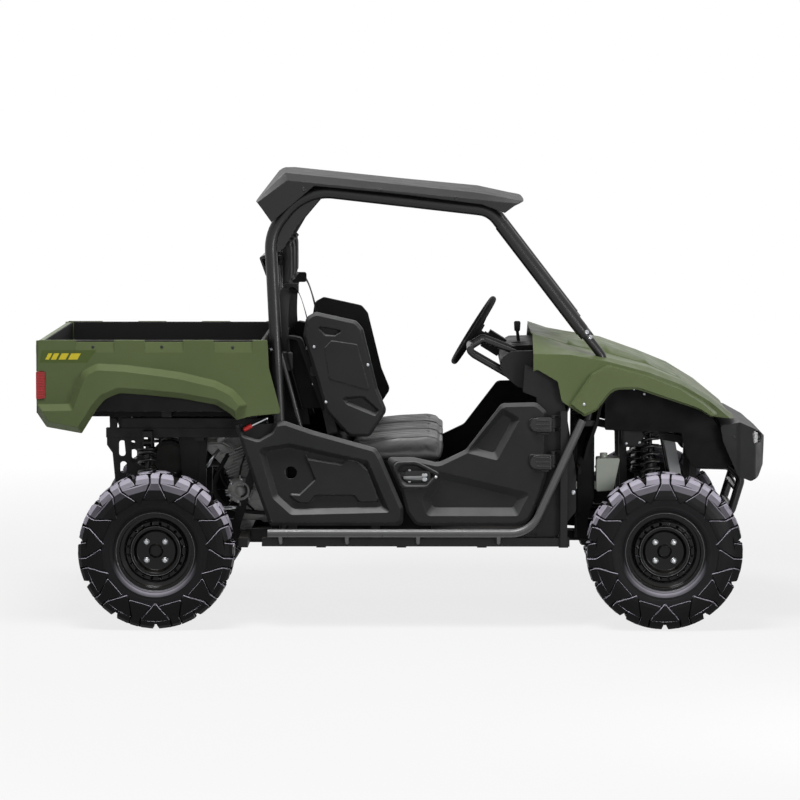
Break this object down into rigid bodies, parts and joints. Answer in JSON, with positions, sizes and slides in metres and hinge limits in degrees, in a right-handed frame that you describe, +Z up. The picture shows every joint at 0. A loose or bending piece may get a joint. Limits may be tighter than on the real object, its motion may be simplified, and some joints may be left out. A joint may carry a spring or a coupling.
{
  "type": "side by side utv",
  "caption": "Side by side utility vehicle with an open cab, roll cage and hard top, half doors, a tipping cargo bed with drop tailgate, and steered, rolling wheels.",
  "frame": {"origin": "on the ground, at the middle of the overall length and width", "axes": "+X the way it drives, +Y its left side, +Z up"},
  "size_m": [3.0994, 1.5692, 1.925],
  "materials": {
    "body_green": "moulded colour, satin gloss",
    "bed_steel": "black textured coating",
    "frame_black": "black powder coat",
    "black_plastic": "fine moulded grain",
    "dark_plastic": "fine moulded grain",
    "seat_vinyl": "grey vinyl",
    "tyre_rubber": "moulded rubber",
    "wheel_steel": "gloss black",
    "cast_metal": "cast and shot blasted",
    "driveline_steel": "black paint",
    "bright_steel": "zinc plated",
    "spring_black": "black paint",
    "lamp_clear": "clear lens",
    "lamp_red": "red lens",
    "clear_white": "natural moulded plastic",
    "grip_rubber": "soft grip"
  },
  "bodies": {
    "chassis": {"frame_centre": "frame_black", "frame_rear": "frame_black", "frame_front": "frame_black", "hitch_receiver": "frame_black", "sill_bars": "frame_black", "floor_pan": "dark_plastic", "seat_box": "dark_plastic", "side_cover_left": "black_plastic", "side_cover_right": "black_plastic", "shoulder_bolsters": "black_plastic", "seat_cushions": "seat_vinyl", "seat_backs": "seat_vinyl", "headrests": "dark_plastic", "cage_left": "frame_black", "cage_right": "frame_black", "cage_crossbars": "frame_black", "roof": "dark_plastic", "dashboard": "dark_plastic", "steering_column": "dark_plastic", "grab_handle": "grip_rubber", "cab_controls": "frame_black", "bed_release": "bright_steel", "hood": "body_green", "fender_left": "body_green", "fender_right": "body_green", "front_bumper": "black_plastic", "headlights": "lamp_clear", "brush_guard": "frame_black", "radiator": "cast_metal", "coolant_tank": "clear_white", "wheel_liners": "dark_plastic", "engine": "cast_metal", "muffler": "driveline_steel", "rear_knuckles": "driveline_steel", "suspension_arms": "frame_black", "dampers": "driveline_steel", "coil_springs": "spring_black", "steering_rack": "cast_metal", "drive_line": "driveline_steel"},
    "cargo_bed": {"cargo_tub": "bed_steel", "bed_side_left": "body_green", "bed_side_right": "body_green", "tail_lamps": "lamp_red"},
    "tailgate": {"tailgate": "body_green"},
    "door_left": {"door_left": "black_plastic"},
    "door_right": {"door_right": "black_plastic"},
    "knuckle_left": {"front_knuckle_left": "driveline_steel"},
    "knuckle_right": {"front_knuckle_right": "driveline_steel"},
    "front_wheel_left": {"tyre_front_left": "tyre_rubber", "wheel_front_left": "wheel_steel"},
    "front_wheel_right": {"tyre_front_right": "tyre_rubber", "wheel_front_right": "wheel_steel"},
    "rear_wheel_left": {"tyre_rear_left": "tyre_rubber", "wheel_rear_left": "wheel_steel"},
    "rear_wheel_right": {"tyre_rear_right": "tyre_rubber", "wheel_rear_right": "wheel_steel"},
    "steering_wheel": {"steering_wheel": "grip_rubber"},
    "steering_rack_bar": {"tie_rods": "bright_steel"}
  },
  "joints": [
    {"name": "front_wheel_left_spin", "type": "hinge", "parent": "knuckle_left", "child": "front_wheel_left", "pos_m": [1.097, 0.6825, 0.331], "axis": [0, 1, 0], "continuous": true},
    {"name": "front_wheel_right_spin", "type": "hinge", "parent": "knuckle_right", "child": "front_wheel_right", "pos_m": [1.097, -0.6825, 0.331], "axis": [0, 1, 0], "continuous": true},
    {"name": "rear_wheel_left_spin", "type": "hinge", "parent": "chassis", "child": "rear_wheel_left", "pos_m": [-1.043, 0.66, 0.331], "axis": [0, 1, 0], "continuous": true},
    {"name": "rear_wheel_right_spin", "type": "hinge", "parent": "chassis", "child": "rear_wheel_right", "pos_m": [-1.043, -0.66, 0.331], "axis": [0, 1, 0], "continuous": true},
    {"name": "steer_left", "type": "hinge", "parent": "chassis", "child": "knuckle_left", "pos_m": [1.097, 0.6215, 0.331], "axis": [0, 0, 1], "range_deg": [-28, 28]},
    {"name": "steer_right", "type": "hinge", "parent": "chassis", "child": "knuckle_right", "pos_m": [1.097, -0.6215, 0.331], "axis": [0, 0, 1], "range_deg": [-28, 28]},
    {"name": "steering_wheel_turn", "type": "hinge", "parent": "chassis", "child": "steering_wheel", "pos_m": [0.303, 0.35, 1.199], "axis": [-0.8485, 0, 0.5292], "range_deg": [-281, 281]},
    {"name": "rack_slide", "type": "slide", "parent": "chassis", "child": "steering_rack_bar", "axis": [0, 1, 0], "range_m": [-0.0469, 0.0469]},
    {"name": "bed_tilt", "type": "hinge", "parent": "chassis", "child": "cargo_bed", "pos_m": [-1.248, 0, 0.846], "axis": [0, -1, 0], "range_deg": [0, 45]},
    {"name": "tailgate_drop", "type": "hinge", "parent": "cargo_bed", "child": "tailgate", "pos_m": [-1.521, 0, 0.913], "axis": [0, -1, 0], "range_deg": [0, 90]},
    {"name": "door_left_swing", "type": "hinge", "parent": "chassis", "child": "door_left", "pos_m": [0.628, 0.703, 0.791], "axis": [0, 0, -1], "range_deg": [0, 70]},
    {"name": "door_right_swing", "type": "hinge", "parent": "chassis", "child": "door_right", "pos_m": [0.628, -0.703, 0.791], "axis": [0, 0, 1], "range_deg": [0, 70]}
  ],
  "couplings": [
    {"joint": "steer_right", "follows": "steer_left", "ratio": 1},
    {"joint": "steering_wheel_turn", "follows": "steer_left", "ratio": 10},
    {"joint": "rack_slide", "follows": "steer_left", "m_per_rad": -0.095}
  ]
}
